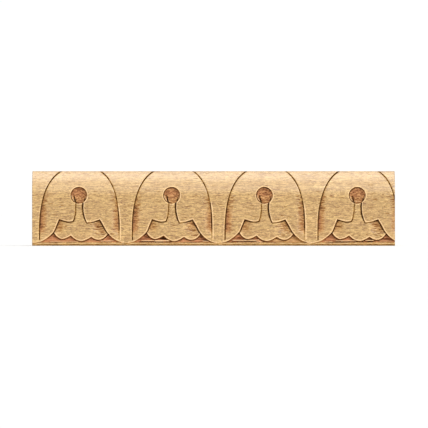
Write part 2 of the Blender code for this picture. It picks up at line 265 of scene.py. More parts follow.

# The dark lines, mostly painted shade in the creases, round the eye and on the lower arris, with some scorch
# and the real splits: each one's strength, its middle and half width, and the heights where it fades
SPANDREL = (17.5, 18.5)
WALL_SHADE_GAIN = 1.3
STEM_SHADE = (0.15, 0.2, 0.5)
LOW_WALL_SHADE = (0.25, 3.0, 5.5)
WING_TOP_GAP = (0.7, 4.8, 2.6)
LOBE_FOOT_SHADE = (0.7, 0.5)
EYE_SHADES = (0.15, 0.75)
EYE_SHADE_SIDE = (1.5, -1.5)
EYE_SHADE_TOP = (22.8, 24.6)
EYE_SHADE_PLACE = (0.2, 0.32)
LOWER_ARRIS_SHADE = (0.34, 0.58, 0.42)
CREST_LIFT = 0.25
SLIT_SEAM = 0.8
LIP_SPLIT_SEAM = 0.3

# The pale lines, part painted highlight and part bruised fibres, in the same way
ARCH_RIM_PLACE = (0.52, 0.3)
ARCH_RIM_FADE = (23.0, 15.0)
ARCH_RIM_INSIDE = 0.3
ARCH_RIM_LEFT = 0.6
CUT_RIM_PLACE = (-0.25, 0.3)
LEFT_STEM_FADE = 0.6
LIP_RIM_FADE = (0.45, 1.5, 1.2)
LOBE_RIM = (1.15, -0.25, 0.35)
LOBE_RIM_START = 0.2
EYE_RIM_PLACE = (-0.2, 0.3)
LEFT_EYE_FADE = (0.35, 24.0, 22.0)
CRESCENT_RIM = (0.65, 0.5, 0.45)
CRESCENT_FADE = (22.5, 21.0)
CREST_RIM = (0.65, 1.5, 0.55)
LOWER_EDGE_RIM = (0.9, 0.0, 0.3)
TOP_RIM = (0.3, HEIGHT, 0.5)
CORNER_RIMS = (0.26, 0.27)
CORNER_START = 13.0
CORNER_RISE = (1.5, 2.5)
CORNER_FALL = (5.4, 3.6)

# A pale nick across the lip: its middle, its run along and up, and its half width
NICK_MIDDLE = (41.3, 0.95)
NICK_RUN = (1.5, 0.75)
NICK_HALF_WIDTH = 0.2
NICK_DEPTH = 0.15
NICK_TAPER = 0.7

# The unevenness of hand-fed work: along the lines, and over the faces
WOBBLE = 0.07
WOBBLE_LENGTH = 7.0
WOBBLE_END = 2.0
WOBBLE_TOP = (0.3, 2.0)
WAVE = 0.03
WAVE_LENGTH = 11.0

# Seeds of the other random patterns
ASIDE_SEED = 21.5
UP_SEED = 34.5
WAVE_SEED = 55.5
SWAY_SEED = 60.7
SPLIT_SEED = 71.3
GROOVE_SEED = 83.1

# Spacing of the mesh points, and how far the sheet is squeezed along the grain to draw long triangles
CURVE_STEP = 0.05
LINE_STEP = 0.24
ARCH_STEP = 0.28
EYE_SIDES = 96
GROOVE_RINGS = (-0.65, -0.48, -0.3, -0.15, 0.15, 0.3, 0.48, 0.65)
WALL_RINGS = (-0.45, -0.3, -0.14, 0.12, 0.25, 0.4, 0.65)
TIP_POINTS = 12
ROW_STEP = 0.5
GRAIN_SQUEEZE = 0.5
WIDE_STEP = 0.33
CLOSE_STEP = 0.17
BAND_CLEARANCE = 0.09
KEPT_SHARE = 0.9
SAME_POINT = 1e-3
SAW_SNAP = 1e-4

# The flat sides: their eased edges, and the ripple that a planer leaves across the back
FLAT_ANGLE = radians(0.5)
FLAT_EDGE_ANGLE = 5 * FLAT_ANGLE
BACK_ARRIS = 0.3
BACK_ARRIS_STEPS = 3
PLANER_PITCH = 1.7
PLANER_DEPTH = 0.03
SHARP_ANGLE = radians(50.0)

# The marks that the carving leaves on the mesh for its finish, painted shade and painted highlight among
# them
MARKS = ("sunk", "seam", "rim", "torn_and_shade", "scorch_and_shade")

# The wood's colours
PALE_WOOD = (0.525, 0.31, 0.088, 1.0)
WARM_WOOD = (0.515, 0.28, 0.092, 1.0)
LATE_WOOD = (0.41, 0.225, 0.07, 1.0)
PORE_BROWN = (0.20, 0.072, 0.014, 1.0)
# Scorch with painted shade, for the hollows
SCORCH_AND_SHADE_WOOD = (0.62, 0.265, 0.132, 1.0)
# Torn grain, and painted shade on the flanks, shoulders and notches
TORN_AND_SHADED_WOOD = (0.245, 0.09, 0.036, 1.0)
# Painted shade beside the dark lines
SHADE_EDGE_BROWN = (0.29, 0.12, 0.032, 1.0)
# Painted shade in the creases, and the dark of real splits and tears
SHADE_AND_CRACK_BROWN = (0.05, 0.015, 0.002, 1.0)
# Painted highlight mixed with bruised fibres, for the pale rims
BRUISE_AND_HIGHLIGHT_WOOD = (0.95, 0.66, 0.36, 1.0)
END_GRAIN = (0.30, 0.155, 0.05, 1.0)
END_RINGS = (0.15, 0.065, 0.02, 1.0)
RAW_GLOSS = 0.12
WOOD_ROUGHNESS = 0.62
BURNISH_ROUGHNESS = 0.38
BURNISH_IOR = 1.98

# The short marks along the grain: length, width, change of tone and relief
FLECKS = ((1.9, 0.26, 0.78, 0.3), (7.0, 0.28, 0.36, 0.0), (0.5, 0.26, 1.0, 0.2))

# How the short marks are frayed: rows to the millimetre, and how far they move
FRAY_ROWS = (0.6, 9.0, 9.0)
FRAY_SHIFT = (2.0, 0.16, 0.16)

# The wood's other patterns: the length and width of each, where it starts and what it changes
TONES = (60.0, 5.0)
TONE_CHANGE = 0.08
DARKENING = (1.0, 1.3, 1.9)
WARM_PATCHES = (7.0, 2.2)
WARM_EDGE = (0.3, 0.7)
WARM_SHARE = 0.35
KNIFE_MARKS = (0.5, 1.6, 0.0)
KNIFE_CHANGE = 0.15
LONG_LINES = (20.0, 0.32)
DARK_LINES = (0.9, 0.94)
DARK_LINE_CHANGES = (0.36, 0.3)
PALE_LINES = (0.05, 0.09)
PALE_LINE_CHANGE = 0.34
PORES = (1.6, 0.32)
PORE_EDGE = (0.87, 0.89)
PORE_CHANGES = (0.7, 0.5)
PORE_CLOUDS = (14.0, 4.0)
CLOUD_EDGE = (0.35, 0.65)
LEAST_PORES = 0.6
RUBBED_SHARE = 0.3
RUBBED_HEIGHTS = (20.0, 27.0)

# How the carving's marks tint the wood, painted shade and painted highlight among them: mark, least and
# range of its raggedness, start, end, share, colour
TINTS = (
    ("torn_and_shade", 1.0, 0.0, 0.05, 0.6, 0.7, TORN_AND_SHADED_WOOD),
    ("torn_and_shade", 0.6, 0.8, 0.7, 1.1, 0.75, SHADE_AND_CRACK_BROWN),
    ("seam", 1.0, 0.0, 0.02, 0.4, 0.55, SHADE_EDGE_BROWN),
    ("rim", 0.6, 0.8, 0.1, 0.75, 0.92, BRUISE_AND_HIGHLIGHT_WOOD),
    ("seam", 0.3, 1.2, 0.14, 0.6, 0.92, SHADE_AND_CRACK_BROWN),
)
RAGGED_EDGES = (1.2, 0.5)
SCORCH_AND_SHADE_FLECKS = (0.8, 0.4)
SCORCH_AND_SHADE_RANGE = (0.65, 0.35)

# The sawn sides: how deep their skin reaches, their cell ends and what changes on them
SAWN_SKIN = (0.12, 0.02)
BACK_SKIN = (0.1, 0.02)
LOWER_SKIN = (0.01, 0.06)
CELL_ENDS = (20.0, 0.22, 1.0)
CELL_END_EDGE = (0.5, 0.66)
CELL_END_SHADE = 0.3
END_SHARES = (0.6, 0.5)
BACK_SHADE = 0.14
ROUGHENING = (0.2, 0.15, 0.08)

# What takes the sheen of a clean cut away, and the relief of the grain
CUT_DEPTHS = (0.3, 1.6)
MARK_DULLING = (("torn_and_shade", 1.0), ("scorch_and_shade", 0.45), ("seam", 2.0), ("rim", 0.7))
DULL_EDGE = (0.05, 0.5)
CUT_DULLING = 0.8
PORE_DULLING = 0.9
BACK_DULLING = 0.7
RELIEF_STRENGTH = 0.6
RELIEF_HEIGHT = 0.012

# The growth rings, about a pith that lies along the strip
PITH = (25.0, -70.0)
RING_WIDTH = 1.9
RING_DRIFT = (90.0, 7.0)
RING_DRIFT_SIZE = 5.0
LATE_WOOD_START = (0.3, 0.9)
LATE_WOOD_END = (0.93, 1.0)
LATE_WOOD_SHARE = 0.3

# The studio, in metres, and what the photograph's frame takes in at the face, in millimetres
FLOOR_SIZE = 20.0
FLOOR_COLOUR = (0.8, 0.8, 0.795, 1.0)
FLOOR_ROUGHNESS = 0.8
SKY_LIGHT = 0.42
SKY_SEEN = 1.02
LAMPS = (("overhead", 180.0, 88.0, 1.55, 50.0), ("key", 30.0, 40.0, 2.02, 30.0))
LENS = 600.0
SENSOR_WIDTH = 36.0
FRAME_WIDTH = 183.36
FRAME_CENTRE = (0.2, 13.63)
CLIP = (0.1, 50.0)


def ease(values, start, end):
    """0 at the start value, 1 at the end value, with a soft run between them."""
    t = np.clip((values - start) / (end - start), 0.0, 1.0)
    return t * t * (3.0 - 2.0 * t)


def peak(values, centre, half_width):
    """1 at the centre value, falling to 0 at half a width from it."""
    return np.clip(1.0 - np.abs(values - centre) / half_width, 0.0, 1.0)


def line_at(values, line):
    """A line's strength at the value of its middle, falling to 0 at half its width from it."""
    strength, centre, half_width = line
    return strength * peak(values, centre, half_width)


def grain(points, length, height, seed):
    """Smooth random values about 0, drawn out along the strip."""
    return np.array([noise.noise(Vector((x / length, z / height, seed))) for x, z in points])


def evenly(line, step):
    """The line again, with its points at even steps along it."""
    line = np.asarray(line, float)
    along = np.concatenate([[0.0], np.cumsum(np.hypot(*np.diff(line, axis=0).T))])
    places = np.linspace(0.0, along[-1], max(2, round(along[-1] / step) + 1))
    return np.column_stack([np.interp(places, along, line[:, k]) for k in (0, 1)])


def curve_through(points):
    """A smooth curve through a few points, sampled at even steps."""
    points = np.array(points, float)
    along = np.concatenate([[0.0], np.cumsum(np.hypot(*np.diff(points, axis=0).T))])
    slopes = np.gradient(points, along, axis=0)
    places = np.linspace(0.0, along[-1], round(along[-1] / CURVE_STEP) + 1)
    span = np.clip(np.searchsorted(along, places, side="right") - 1, 0, len(points) - 2)
    width = (along[span + 1] - along[span])[:, None]
    t = (places - along[span])[:, None] / width
    curve = (
        (2 * t**3 - 3 * t**2 + 1) * points[span]
        + (t**3 - 2 * t**2 + t) * width * slopes[span]
        + (3 * t**2 - 2 * t**3) * points[span + 1]
        + (t**3 - t**2) * width * slopes[span + 1]
    )
    return evenly(curve, LINE_STEP)


def chained(*lines):
    """Lines joined end to end, with each shared end kept once."""
    return np.concatenate([line[:-1] for line in lines[:-1]] + [lines[-1]])


def arch_line():
    """The arch from its left foot over the crown to its right foot."""
    turn = np.linspace(0.0, pi, ARCH_SAMPLES)
    reach = np.sign(np.cos(turn)) * np.abs(np.cos(turn)) ** (2 / ARCH_POWER)
    rise = ARCH_RISE * np.abs(np.sin(turn)) ** (2 / ARCH_POWER)
    centre = ARCH_SHIFT + ARCH_LEAN * (rise / ARCH_LEAN_HEIGHT) ** 2
    crown = np.column_stack([centre - ARCH_HALF_WIDTH * reach, ARCH_SPRING + rise])
    feet = [(crown[0, 0], ARCH_FOOT)], [(crown[-1, 0], ARCH_FOOT)]
    return evenly(np.concatenate([feet[0], crown, feet[1]]), ARCH_STEP)


def eye_ring(radius=EYE_RADIUS):
    turn = np.linspace(0.0, 2 * pi, EYE_SIDES + 1)
    return np.column_stack([EYE_CENTRE[0] + radius * np.cos(turn), EYE_CENTRE[1] + radius * np.sin(turn)])


def tongue_half_width(z):
    return TONGUE_HALF_WIDTH + TONGUE_FLARE * (z - TONGUE_FOOT[0])


def tongue_side(side, offset):
    """A line along one side of the tongue, from the eye's lower rim up to its middle."""
    z = np.arange(TONGUE_FOOT[0] + TONGUE_EDGE, TONGUE_HEAD, LINE_STEP)
    return np.column_stack([TONGUE_CENTRE + side * (tongue_half_width(z) + offset), z])


def lobe_line():
    """The scalloped lower edge of the three lobes, from left to right."""
    return chained(*(curve_through(lobe) for lobe in LOBES))


def cut_outline():
    """The closed outline of all that is cut away below the eye: stem, wings and ground."""
    left = chained(*(curve_through(line) for line in (STEM_LEFT, WING_TOP_LEFT, SIDE_LEFT)))
    right = chained(*(curve_through(line) for line in (STEM_RIGHT, WING_TOP_RIGHT, SIDE_RIGHT)))
    lip = evenly([left[-1], right[-1]], LINE_STEP)
    return np.concatenate([left[:-1], lip[:-1], right[::-1], left[:1]])


def ground_tip(side):
    """The bottom of a narrow end of the ground, midway between the leaf's edge and the lip."""
    edge = curve_through(side)[-TIP_POINTS:]
    return np.column_stack([edge[:, 0], (edge[:, 1] + edge[-1, 1]) / 2])


def distance_to(points, line):
    """Each point's distance to the line, and whether the closed line goes round it."""
    nearest = np.full(len(points), np.inf)
    inside = np.zeros(len(points), bool)
    for (x0, z0), (x1, z1) in zip(line[:-1], line[1:]):
        dx, dz = x1 - x0, z1 - z0
        if hypot(dx, dz) < SAW_SNAP:
            continue
        px, pz = points[:, 0] - x0, points[:, 1] - z0
        t = np.clip((px * dx + pz * dz) / (dx * dx + dz * dz), 0.0, 1.0)
        nearest = np.minimum(nearest, np.hypot(px - t * dx, pz - t * dz))
        if dz:
            crosses = (points[:, 1] < z0) != (points[:, 1] < z1)
            inside ^= crosses & (points[:, 0] < x0 + dx * pz / dz)
    return nearest, inside


def depth_inside(points, line):
    """How far inside the closed line each point lies, negative outside it."""
    nearest, inside = distance_to(points, line)
    return np.where(inside, nearest, -nearest)


class Carving:
    """The relief of one motif at a set of points, with the marks that its finish follows, painted shade and
    highlight among them.
    """

    def __init__(self, points, motif):
        self.points = points
        self.u = points[:, 0]
        self.z = points[:, 1]
        self.to_arch = distance_to(points, arch_line())[0]
        self.in_arch = depth_inside(points, self.arch_area())
        self.in_cut = depth_inside(points, cut_outline())
        self.in_eye = depth_inside(points, eye_ring())
        self.to_lobes = distance_to(points, lobe_line())[0]
        self.motif = motif

    def arch_area(self):
        """The closed outline of the leaf: the arch, with its feet brought down past the lower edge."""
        arch = arch_line()
        below = -1.0
        return np.concatenate([arch, [(arch[-1, 0], below), (arch[0, 0], below), tuple(arch[0])]])

    def below_lobes(self):
        """Distance below the lobes' edge, negative on the lobes and above them."""
        lobes = lobe_line()
        aside = HEIGHT
        edge = np.interp(self.u, lobes[:, 0], lobes[:, 1], left=aside, right=aside)
        return np.where(self.z < edge, self.to_lobes, -self.to_lobes)

    def wall(self, inward):
        """How far down a wall is at a distance in from its line, from 0 at its top to 1 at its foot."""
        return ease(inward, -WALL_TOP_ROUND, WALL_WIDTH + WALL_FOOT_ROUND)

    def flank(self):
        """1 on the leaf's lower flanks beside the arch line, falling off towards the leaf's middle."""
        share = np.clip(1.0 - self.in_arch / FLANK_WIDTH, 0.0, 1.0) * (self.in_arch > 0)
        return share * (1.0 - ease(self.z, *FLANK_TOP)) * ease(self.z, *FLANK_TIP)

    def groove(self):
        """1 along the bottom of the arch line, fading at its crown and its feet."""
        fade_start, fade_end, left_gain, right_gain = GROOVE_CROWN_FADES
        right = self.u > 0
        strength = ease(self.z, *GROOVE_FOOT_FADE)
        strength *= 1.0 + ease(self.z, fade_start, fade_end) * np.where(right, right_gain, left_gain)
        low_start, low_end, low_fade = GROOVE_RIGHT_FADE
        strength *= 1.0 - low_fade * right * (1.0 - ease(self.z, low_start, low_end))
        length, height, share = GROOVE_BREAKS
        pattern = grain(self.points, length, height, GROOVE_SEED + self.motif)
        broken = 1.0 - ease(pattern, *GROOVE_BREAK_EDGE)
        strength *= 1.0 - share * broken * right * ease(self.z, *GROOVE_BREAK_START)
        return peak(self.to_arch, 0.0, GROOVE_HALF_WIDTH) * strength

    def leaf(self):
        inward, z = self.in_arch, self.z
        sink = LEAF_SINK * ease(inward, 0.0, LEAF_EDGE)
        sink *= (1.0 - ease(z, *LEAF_SINK_FADE)) * ease(z, *LEAF_TIP)
        roll = np.clip(1.0 - inward / FLANK_WIDTH, 0.0, 1.0) ** FLANK_POWER * ease(inward, 0.0, FLANK_STEP)
        roll *= FLANK_SINK * (1.0 - ease(z, *FLANK_TOP)) * ease(z, *FLANK_TIP)
        length, height, middle, spread = GROOVE_RAGGED
        ragged = middle + spread * grain(self.points, length, height, self.motif)
        return sink + roll + GROOVE_DEPTH * self.groove() * ragged

    def tongue(self):
        half = tongue_half_width(self.z)
        aside = np.abs(self.u - TONGUE_CENTRE)
        return 1.0 - ease(aside, half - TONGUE_EDGE / 2, half + TONGUE_EDGE / 2)

    def beside_tongue(self):
        """1 at the stop cuts down the sides of the tongue, 0 away from them."""
        aside = np.abs(self.u - TONGUE_CENTRE) - tongue_half_width(self.z)
        left, right = (1.0 - ease(self.z, *fade) for fade in TONGUE_CREASE_FADES)
        fade = np.where(self.u < TONGUE_CENTRE, left, right) * (self.in_eye > 0)
        return peak(aside, TONGUE_EDGE / 2, TONGUE_CREASE_HALF_WIDTH) * fade

    def eye_floor(self):
        """The dish of the eye, with the tongue that rises from its middle to the stem."""
        out = np.clip(1.0 - self.in_eye / EYE_RADIUS, 0.0, 1.0)
        dish = EYE_EDGE_DEPTH + (EYE_DEPTH - EYE_EDGE_DEPTH) * (1.0 - out**2)
        foot, foot_depth = TONGUE_FOOT
        climb = np.clip((TONGUE_HEAD - self.z) / (TONGUE_HEAD - foot), 0.0, 1.0)
        tongue = EYE_DEPTH - (EYE_DEPTH - foot_depth) * climb
        floor = dish + (np.minimum(tongue, dish) - dish) * self.tongue()
        return floor + TONGUE_CREASE * self.beside_tongue()

    def shoulder(self):
        """1 at the sunk outer ends of the wings, 0 at the heart of the leaf."""
        return ease(np.abs(self.u), *SHOULDER_REACH) * ease(self.z, *SHOULDER_DROP)

    def worn(self):
        """1 where the outer ends of the wings are torn and dull and carry painted shade, a little lower on
        the right.
        """
        out = np.where(self.u < 0, *(ease(np.abs(self.u), *reach) for reach in WORN_REACHES))
        return out * np.where(self.u < 0, *(ease(self.z, *drop) for drop in WORN_DROPS))

    def crease(self):
        """The stop cut along the foot of the walls, deepest beside the stem."""
        depth = WING_CREASE_DEPTH + (CREASE_DEPTH - WING_CREASE_DEPTH) * ease(self.z, *CREASE_START)
        return depth * peak(self.in_cut, WALL_WIDTH, CREASE_HALF_WIDTH)

    def lower_leaf_floor(self):
        """The surface of the stem, the wings and the lobes."""
        floor = HEART_DEPTH + (SHOULDER_DEPTH - HEART_DEPTH) * self.shoulder()
        floor += (STEM_DEPTH - HEART_DEPTH) * ease(self.z, *STEM_RISE)
        return floor + self.crease()

    def streaked(self, streak):
        """1 in long streaks with sharp edges, 0 between them."""
        length, height, edge_start, edge_end, seed = streak
        return ease(grain(self.points, length, height, seed + self.motif), edge_start, edge_end)

    def beside_arch(self):
        """1 just inside the arch line, falling off inwards, at the heights where its flanks are torn and
        carry painted shade.
        """
        share = np.clip(1.0 - self.in_arch / FLANK_REACH, 0.0, 1.0) * (self.in_arch > 0) * (self.in_cut < 0)
        share *= ease(self.z, *FLANK_TEAR_FOOT) * (1.0 - ease(self.z, *FLANK_TEAR_TOP))
        return share * np.where(self.u < 0, LEFT_FLANK_SHARE, 1.0)

    def tearing_and_shade(self):
        """Where fibres have torn out, and how strongly, with painted shade on the flanks, the shoulders and
        the notches.
        """
        in_cut = self.in_cut > 0
        below = self.below_lobes()
        eye = EYE_TEAR * (self.in_eye > 0) * self.streaked(EYE_STREAK)
        # Painted shade with wear over the shoulders, besides their torn streaks
        shoulder = SHOULDER_WEAR_AND_SHADE + SHOULDER_TEAR * self.streaked(SHOULDER_STREAK)
        shoulder *= self.worn() * (in_cut & (below < 0))
        ground = GROUND_TEARS[self.motif] * ease(below, *GROUND_TEAR_START) * in_cut
        ground *= self.streaked(GROUND_STREAK)
        flank = FLANK_TEAR * self.beside_arch() ** FLANK_TEAR_POWER
        flank *= self.streaked(FLANK_STREAK)
        # Painted shade down the flanks, which also sinks them a little
        flank += FLANK_SHADE * self.beside_arch()
        splinters = self.strips(SPLINTERS) * (self.to_arch > GROOVE_HALF_WIDTH)
        # Painted shadow under the lobes at the notches, which also sinks the ground a little
        notch = self.faded(NOTCH_SHADE) * self.in_ground() * (self.motif != CLEAN_GROUND_MOTIF)
        return np.maximum.reduce([eye + shoulder + ground + flank, splinters, notch])

    def strips(self, listed):
        """The listed strips along the grain: each one's size where it is thickest, and 0 off them."""
        total = np.zeros(len(self.z))
        pattern = grain(self.points, STRIP_SWAY_LENGTH, STRIP_SWAY_LENGTH, SWAY_SEED + self.motif)
        core, edge = STRIP_EDGES
        for motif, start, end, height, half, size in listed:
            if motif == self.motif:
                ends = ease(self.u, start, start + STRIP_TAPER) * ease(-self.u, -end, STRIP_TAPER - end)
                across = np.abs(self.z - height - STRIP_SWAY * pattern)
                strip = size * ends * (1.0 - ease(across, core * half, edge * half))
                total = np.maximum(total, strip)
        return total

    def in_ground(self):
        """1 over the floor of the cut-away ground, 0 from the foot of its walls outwards."""
        return ease(self.below_lobes(), *GROUND_START) * ease(self.in_cut, *GROUND_START)

    def slivers(self):
        return self.strips(SLIVERS) * self.in_ground()

    def slits(self):
        return self.strips(SLITS) * self.in_ground()

    def lip_splits(self):
        """Fine splits along the lip, which come and go."""
        length, half_width, _ = LIP_SPLIT_SIZE
        lines = sum(peak(self.z, height, half_width) for height in LIP_SPLITS)
        pattern = grain(self.points, length, length, SPLIT_SEED + 2 * self.motif)
        return LIP_SHARES[self.motif] * lines * ease(pattern, *LIP_SPLIT_EDGE) * (self.in_cut < 0)

    def depth(self):
        """How far into the wood each point is cut."""
        surface = self.leaf()
        leaf_floor = self.lower_leaf_floor()
        ground = GROUND_LIP_DEPTH + (GROUND_DEPTH - GROUND_LIP_DEPTH) * ease(self.z, *GROUND_RISE)
        floor = leaf_floor + (ground - leaf_floor) * self.wall(self.below_lobes())
        floor += self.slits() - self.slivers()
        cut = surface + np.maximum(floor - surface, 0.0) * self.wall(self.in_cut)
        eye = surface + (self.eye_floor() - surface) * self.wall(self.in_eye)
        splits = LIP_SPLIT_SIZE[-1] * self.lip_splits()
        return np.maximum(cut, eye) + TEAR_DEPTH * self.tearing_and_shade() + splits

    def faded(self, fade):
        """0 at a fade's first height and its full share at its second."""
        share, start, end = fade
        return share * ease(self.z, start, end)

    def spandrel(self):
        """1 between the arches, 0 inside them."""
        return ease(np.abs(self.u), *SPANDREL)

    def wall_foot_shade_and_scorch(self):
        """The dark line along the foot of the walls round the stem, the wings and the ground: painted shade,
        with some scorch.
        """
        stem = ease(self.z, *CREASE_START)
        left = self.u < 0
        shift, widening, left_fade = STEM_SHADE
        foot = WALL_WIDTH + WALL_FOOT_ROUND / 2 - shift * stem
        line = peak(self.in_cut, foot, CREASE_HALF_WIDTH + widening * stem * ~left)
        least, start, end = LOW_WALL_SHADE
        strength = (1.0 - left_fade * stem * left) * (least + (1.0 - least) * ease(self.z, start, end))
        share, middle, half_width = WING_TOP_GAP
        strength *= 1.0 - share * peak(self.u, middle, half_width) * (self.z < CREASE_START[0])
        return np.clip(WALL_SHADE_GAIN * line, 0.0, 1.0) * strength * (self.in_eye < 0)

    def seam(self):
        """The dark lines, mostly painted shade in the creases, round the eye and on the lower arris, with
        some scorch and real splits: the arch line, and the foot of every wall.
        """
        foot = WALL_WIDTH + WALL_FOOT_ROUND / 2
        strength, edge = LOBE_FOOT_SHADE
        lobes = strength * peak(self.below_lobes(), foot, CREASE_HALF_WIDTH) * ease(self.in_cut, 0.0, edge)
        # Painted shade, strongest at the eye's upper and left side
        upper_left = np.maximum(ease(self.u, *EYE_SHADE_SIDE), ease(self.z, *EYE_SHADE_TOP))
        least, more = EYE_SHADES
        eye = (least + more * upper_left) * peak(self.in_eye, *EYE_SHADE_PLACE)
        # Painted shade along the lower arris, which faces down
        strength, height, half_width = LOWER_ARRIS_SHADE
        lower_arris = strength * peak(self.z, height + CREST_LIFT * self.spandrel(), half_width)
        splits = SLIT_SEAM * self.slits() + LIP_SPLIT_SEAM * self.lip_splits()
        lines = [self.groove(), self.wall_foot_shade_and_scorch(), lobes, eye, lower_arris, splits, self.beside_tongue()]
        return np.maximum.reduce(lines)

    def arch_rim(self):
        """The pale line outside the lower part of the arch line: a painted highlight on its edge, with
        bruised fibres.
        """
        side = np.where(self.in_arch < 0, 1.0, ARCH_RIM_INSIDE) * np.where(self.u < 0, ARCH_RIM_LEFT, 1.0)
        fade = ease(self.z, *GROOVE_FOOT_FADE) * ease(self.z, *ARCH_RIM_FADE)
        return peak(self.to_arch, *ARCH_RIM_PLACE) * side * fade

    def wall_rims(self):
        """The pale arrises of the stem, wings and ground, of the lobes, and of the eye: painted highlights
        with bruised fibres.
        """
        left = self.u < 0
        cut = peak(self.in_cut, *CUT_RIM_PLACE) * (self.in_eye < 0)
        cut *= 1.0 - LEFT_STEM_FADE * left * ease(self.z, *CREASE_START)
        cut *= 1.0 - self.faded(LIP_RIM_FADE) * (self.in_cut < 0)
        lobes = line_at(self.below_lobes(), LOBE_RIM) * (self.in_cut > LOBE_RIM_START)
        eye = peak(self.in_eye, *EYE_RIM_PLACE) * (1.0 - self.faded(LEFT_EYE_FADE) * left)
        return np.maximum.reduce([cut, lobes, eye])

    def rim(self):
        """The pale lines: painted highlights on the arrises, where the fibres are also bruised, and on the
        eye's lower crescents, the crests, the top edge and the corners, and the slivers that stand.
        """
        below_tongue = np.abs(self.u - TONGUE_CENTRE) > tongue_half_width(self.z) + TONGUE_EDGE
        # Painted highlight on the lower part of the eye's dish, which faces up
        crescents = line_at(self.in_eye, CRESCENT_RIM) * below_tongue * ease(self.z, *CRESCENT_FADE)
        # Painted highlight on the lip's crest and along the lower edge
        crest = line_at(self.z, CREST_RIM) * self.spandrel() + line_at(self.z, LOWER_EDGE_RIM)
        # Painted highlight along the top edge
        top = line_at(self.z, TOP_RIM)
        # Painted highlight at the leaf's lower corners
        corner = np.where(self.u < 0, *CORNER_RIMS) * (self.in_arch > 0) * (self.in_cut < 0)
        corner *= (np.abs(self.u) > CORNER_START) * ease(self.z, *CORNER_FALL) * ease(self.z, *CORNER_RISE)
        lines = [self.arch_rim(), self.wall_rims(), crescents, crest, top, corner, self.slivers()]
        return np.maximum.reduce(lines)

    def scorch_and_shade(self):
        """How far scorch and painted shade darken the wood: most in the ground, then in the eye and the
        hollows.
        """
        cleaner = CLEAN_GROUND_SHARE * (self.motif == CLEAN_GROUND_MOTIF)
        ground = self.in_ground() * (1.0 - cleaner * ease(self.u, *CLEAN_GROUND_START))
        # Less painted shade on the low part of the ground, which faces up
        ground *= 1.0 - self.faded(LOW_GROUND_LESS_SHADE)
        # More painted shade towards the top of the eye, under its upper wall
        low_scorch, high_scorch = EYE_SCORCH_AND_SHADE
        eye = low_scorch + (high_scorch - low_scorch) * ease(self.z, *EYE_SHADE_HEIGHTS)
        eye *= ease(self.in_eye, 0.0, EYE_SHADE_EDGE)
        shoulder = SHOULDER_SCORCH_AND_SHADE * self.shoulder() * (self.in_cut > 0) * (self.below_lobes() < 0)
        # Painted shade on the flanks, where the leaf dips towards the arch line
        flank = np.where(self.u < 0, *FLANK_SCORCH_AND_SHADE) * self.flank() * (self.in_cut < 0)
        flank *= ease(self.z, *FLANK_SHADE_HEIGHTS)
        return np.maximum.reduce([ground, eye, shoulder, flank])


def lip_nick(points):
    """1 along the nick across the lip, 0 off it."""
    run = np.array(NICK_RUN)
    half_length = hypot(*NICK_RUN)
    from_middle = points - np.array(NICK_MIDDLE)
    along = np.abs(from_middle @ run) / half_length
    aside = np.abs(from_middle @ np.array([-run[1], run[0]])) / half_length
    return peak(aside, 0.0, NICK_HALF_WIDTH) * (1.0 - ease(along, NICK_TAPER * half_length, half_length))


def setback(points):
    """How far the uncarved section lies behind the flat of the face, round its arrises and its top."""
    x, z = points[:, 0], points[:, 1]
    low = np.clip(ARRIS_RADIUS - z, 0.0, ARRIS_RADIUS)
    high = np.clip(z - ROUND_START, 0.0, ROUND_RADIUS)
    arris = ARRIS_RADIUS - np.sqrt(ARRIS_RADIUS**2 - low**2)
    to_end = np.abs(x) - (LENGTH / 2 - SAWN_ARRIS)
    to_top = z - (HEIGHT - SAWN_ARRIS)
    sawn = np.clip(np.maximum(to_end, to_top), 0.0, SAWN_ARRIS)
    eased = SAWN_ARRIS - np.sqrt(SAWN_ARRIS**2 - sawn**2)
    return arris + ROUND_RADIUS - np.sqrt(ROUND_RADIUS**2 - high**2) + eased


def carvings(points):
    """The carving of every motif, each with the numbers of its own points."""
    nearest = np.clip(np.round((points[:, 0] - FIRST_AXIS) / REPEAT), 0, MOTIFS - 1).astype(int)
    for k in range(MOTIFS):
        own = np.flatnonzero(nearest == k)
        yield own, Carving(points[own] - (FIRST_AXIS + REPEAT * k, 0.0), k)


def set_in(line, distance):
    """The line moved to its left by a distance, less the points that then come too near it."""
    along = np.gradient(line, axis=0)
    along /= np.hypot(along[:, 0], along[:, 1])[:, None]
    moved = line + distance * np.column_stack([-along[:, 1], along[:, 0]])
    return moved[distance_to(moved, line)[0] > KEPT_SHARE * abs(distance)]


def motif_lines():
    """The lines of one motif that the mesh follows, each with close lines beside it."""
    arch, outline, lobes = arch_line(), cut_outline(), lobe_line()
    lines = [arch, outline, lobes, ground_tip(SIDE_LEFT), ground_tip(SIDE_RIGHT), eye_ring()]
    lines += [set_in(arch, distance) for distance in GROOVE_RINGS]
    lines += [set_in(outline, distance) for distance in WALL_RINGS]
    lines += [set_in(lobes, -distance) for distance in WALL_RINGS]
    lines += [eye_ring(EYE_RADIUS - distance) for distance in WALL_RINGS]
    lines += [tongue_side(side, share * TONGUE_EDGE) for side in (-1, 1) for share in (-0.5, 0.0, 0.5)]
    return lines


def arris_places(radius, steps):
    """Distances from an edge at which a rounded arris has its lines."""
    return [radius * (1 - sin(pi / 2 * (1 - k / steps))) for k in range(steps + 1)]


def long_heights():
    """Heights of the lines that run the whole length."""
    lower = arris_places(ARRIS_RADIUS, ARRIS_STEPS)
    upper = [HEIGHT - place for place in arris_places(SAWN_ARRIS, SAWN_ARRIS_STEPS)]
    return lower + upper[::-1] + [HEIGHT + BLANK_TOP]


def end_places():
    """Distances along the strip of the upright lines at its two ends."""
    half = LENGTH / 2
    arris = [half - place for place in arris_places(SAWN_ARRIS, SAWN_ARRIS_STEPS)]
    return [side * place for side in (-1, 1) for place in arris + [half + BLANK_END]]


